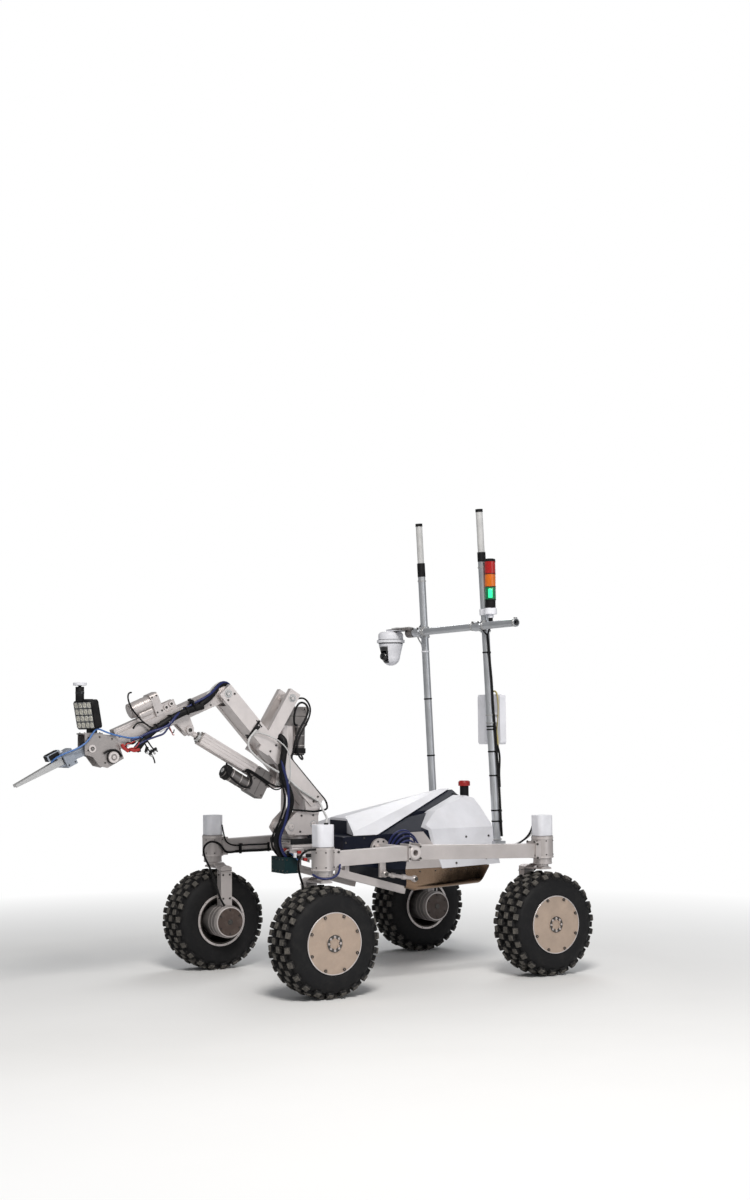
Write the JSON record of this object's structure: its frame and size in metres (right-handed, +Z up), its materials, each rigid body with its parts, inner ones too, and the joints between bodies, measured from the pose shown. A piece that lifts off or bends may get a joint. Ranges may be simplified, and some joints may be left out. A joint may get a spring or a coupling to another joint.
{
  "type": "planetary rover prototype",
  "caption": "Wheeled planetary rover prototype with steered wheels, a jointed manipulator arm, a mast pair with signal light and dome camera.",
  "frame": {"origin": "on the floor, under the middle of the whole outline from the rear tyres to the finger tips, midway between left and right wheels", "axes": "+X forward towards the arm, +Y to the rover's left, +Z up; wheels straight, arm out as pictured"},
  "size_m": [1.815, 0.896, 1.5346],
  "materials": {
    "tyre": "dusty",
    "wheel_metal": "satin",
    "motor_metal": "satin",
    "frame_metal": "satin",
    "bright_metal": "bright",
    "white_plastic": "satin",
    "dark_panel": "satin",
    "polished": "polished",
    "black_plastic": "matte",
    "teal": "satin",
    "red": "gloss",
    "amber": "gloss",
    "green": "gloss",
    "led": "clear",
    "grip_metal": "satin",
    "finger_metal": "brushed"
  },
  "bodies": {
    "chassis": {"core_box": "dark_panel", "front_hood": "white_plastic", "rear_cover": "white_plastic", "belly_pan": "polished", "side_panels": "dark_panel", "lower_braces": "frame_metal", "rocker_beams": "frame_metal", "rocker_pivots": "frame_metal", "column_housings": "motor_metal", "column_caps": "white_plastic", "tie_rods": "frame_metal", "arm_base": "frame_metal", "teal_box": "teal", "emergency_stop": "red", "mast_tubes": "frame_metal", "mast_crossbar": "frame_metal", "mast_clamps": "frame_metal", "antenna_rods": "white_plastic", "antenna_ends": "black_plastic", "stack_base": "black_plastic", "stack_green": "green", "stack_amber": "amber", "stack_red": "red", "panel_antenna": "white_plastic", "dome_bracket": "black_plastic", "dome_cap": "white_plastic", "chassis_cables": "black_plastic"},
    "steer_front_left": {"strut_front_left": "frame_metal", "hub_motor_front_left": "motor_metal"},
    "wheel_front_left": {"tyre_front_left": "tyre", "rim_front_left": "wheel_metal"},
    "steer_front_right": {"strut_front_right": "frame_metal", "hub_motor_front_right": "motor_metal"},
    "wheel_front_right": {"tyre_front_right": "tyre", "rim_front_right": "wheel_metal"},
    "steer_rear_left": {"strut_rear_left": "frame_metal", "hub_motor_rear_left": "motor_metal"},
    "wheel_rear_left": {"tyre_rear_left": "tyre", "rim_rear_left": "wheel_metal"},
    "steer_rear_right": {"strut_rear_right": "frame_metal", "hub_motor_rear_right": "motor_metal"},
    "wheel_rear_right": {"tyre_rear_right": "tyre", "rim_rear_right": "wheel_metal"},
    "turntable": {"turntable": "frame_metal"},
    "upper_arm": {"boom": "bright_metal"},
    "shoulder_barrel": {"shoulder_barrel": "bright_metal"},
    "shoulder_rod": {"shoulder_rod": "bright_metal"},
    "elbow_barrel": {"elbow_barrel": "bright_metal"},
    "elbow_rod": {"elbow_rod": "bright_metal"},
    "forearm": {"forearm": "frame_metal", "wrist_motors": "motor_metal", "forearm_cables": "black_plastic"},
    "wrist_roll": {"wrist_bracket": "frame_metal", "work_lamp": "black_plastic", "lamp_leds": "led"},
    "wrist_pitch": {"gripper_block": "grip_metal"},
    "finger_left": {"finger_left": "finger_metal"},
    "finger_right": {"finger_right": "finger_metal"},
    "camera_pan": {"dome_shell": "white_plastic"},
    "camera_tilt": {"dome_lens": "black_plastic"}
  },
  "joints": [
    {"name": "steer_front_left", "type": "hinge", "parent": "chassis", "child": "steer_front_left", "pos_m": [0.0775, 0.38, 0.375], "axis": [0, 0, 1], "range_deg": [-90, 90]},
    {"name": "wheel_front_left", "type": "hinge", "parent": "steer_front_left", "child": "wheel_front_left", "pos_m": [0.0775, 0.38, 0.165], "axis": [0, 1, 0], "continuous": true},
    {"name": "steer_front_right", "type": "hinge", "parent": "chassis", "child": "steer_front_right", "pos_m": [0.0775, -0.38, 0.375], "axis": [0, 0, 1], "range_deg": [-90, 90]},
    {"name": "wheel_front_right", "type": "hinge", "parent": "steer_front_right", "child": "wheel_front_right", "pos_m": [0.0775, -0.38, 0.165], "axis": [0, 1, 0], "continuous": true},
    {"name": "steer_rear_left", "type": "hinge", "parent": "chassis", "child": "steer_rear_left", "pos_m": [-0.7425, 0.38, 0.375], "axis": [0, 0, 1], "range_deg": [-90, 90]},
    {"name": "wheel_rear_left", "type": "hinge", "parent": "steer_rear_left", "child": "wheel_rear_left", "pos_m": [-0.7425, 0.38, 0.165], "axis": [0, 1, 0], "continuous": true},
    {"name": "steer_rear_right", "type": "hinge", "parent": "chassis", "child": "steer_rear_right", "pos_m": [-0.7425, -0.38, 0.375], "axis": [0, 0, 1], "range_deg": [-90, 90]},
    {"name": "wheel_rear_right", "type": "hinge", "parent": "steer_rear_right", "child": "wheel_rear_right", "pos_m": [-0.7425, -0.38, 0.165], "axis": [0, 1, 0], "continuous": true},
    {"name": "arm_yaw", "type": "hinge", "parent": "chassis", "child": "turntable", "pos_m": [-0.0305, 0, 0.456], "axis": [0, 0, 1], "range_deg": [-90, 90]},
    {"name": "shoulder", "type": "hinge", "parent": "turntable", "child": "upper_arm", "pos_m": [-0.0705, 0, 0.495], "axis": [0, -1, 0], "range_deg": [-35, 40]},
    {"name": "shoulder_swing", "type": "hinge", "parent": "upper_arm", "child": "shoulder_barrel", "pos_m": [-0.0015, 0, 0.8995], "axis": [0, -1, 0], "range_deg": [-0.82, 0.72]},
    {"name": "shoulder_stroke", "type": "slide", "parent": "shoulder_barrel", "child": "shoulder_rod", "axis": [0.0268, 0, -0.9996], "range_m": [-0.0457, 0.0522]},
    {"name": "elbow", "type": "hinge", "parent": "upper_arm", "child": "forearm", "pos_m": [0.2275, 0, 0.9135], "axis": [0, -1, 0], "range_deg": [-6, 40]},
    {"name": "elbow_swing", "type": "hinge", "parent": "upper_arm", "child": "elbow_barrel", "pos_m": [0.0415, 0, 0.626], "axis": [0, -1, 0], "range_deg": [-1.3, 8.36]},
    {"name": "elbow_stroke", "type": "slide", "parent": "elbow_barrel", "child": "elbow_rod", "axis": [0.87, 0, 0.4931], "range_m": [-0.01497, 0.09866]},
    {"name": "wrist_roll", "type": "hinge", "parent": "forearm", "child": "wrist_roll", "pos_m": [0.59041, 0, 0.76531], "axis": [0.9258, 0, -0.378], "range_deg": [-90, 90]},
    {"name": "wrist_pitch", "type": "hinge", "parent": "wrist_roll", "child": "wrist_pitch", "pos_m": [0.6745, 0, 0.747], "axis": [0, -1, 0], "range_deg": [-30, 45]},
    {"name": "finger_left", "type": "hinge", "parent": "wrist_pitch", "child": "finger_left", "pos_m": [0.76681, 0.0085, 0.70849], "axis": [0.4428, 0, 0.8966], "range_deg": [0, 25]},
    {"name": "finger_right", "type": "hinge", "parent": "wrist_pitch", "child": "finger_right", "pos_m": [0.76681, -0.0085, 0.70849], "axis": [-0.4428, 0, -0.8966], "range_deg": [0, 25]},
    {"name": "camera_pan", "type": "hinge", "parent": "chassis", "child": "camera_pan", "pos_m": [-0.6085, -0.326, 1.058], "axis": [0, 0, 1], "range_deg": [-170, 170]},
    {"name": "camera_tilt", "type": "hinge", "parent": "camera_pan", "child": "camera_tilt", "pos_m": [-0.5845, -0.326, 1.058], "axis": [0, 1, 0], "range_deg": [-10, 80]}
  ],
  "couplings": [
    {"joint": "shoulder_swing", "follows": "shoulder", "ratio": -0.01904},
    {"joint": "shoulder_stroke", "follows": "shoulder", "m_per_rad": 0.074484},
    {"joint": "elbow_swing", "follows": "elbow", "ratio": 0.20763},
    {"joint": "elbow_stroke", "follows": "elbow", "m_per_rad": 0.14103},
    {"joint": "finger_right", "follows": "finger_left", "ratio": 1}
  ]
}
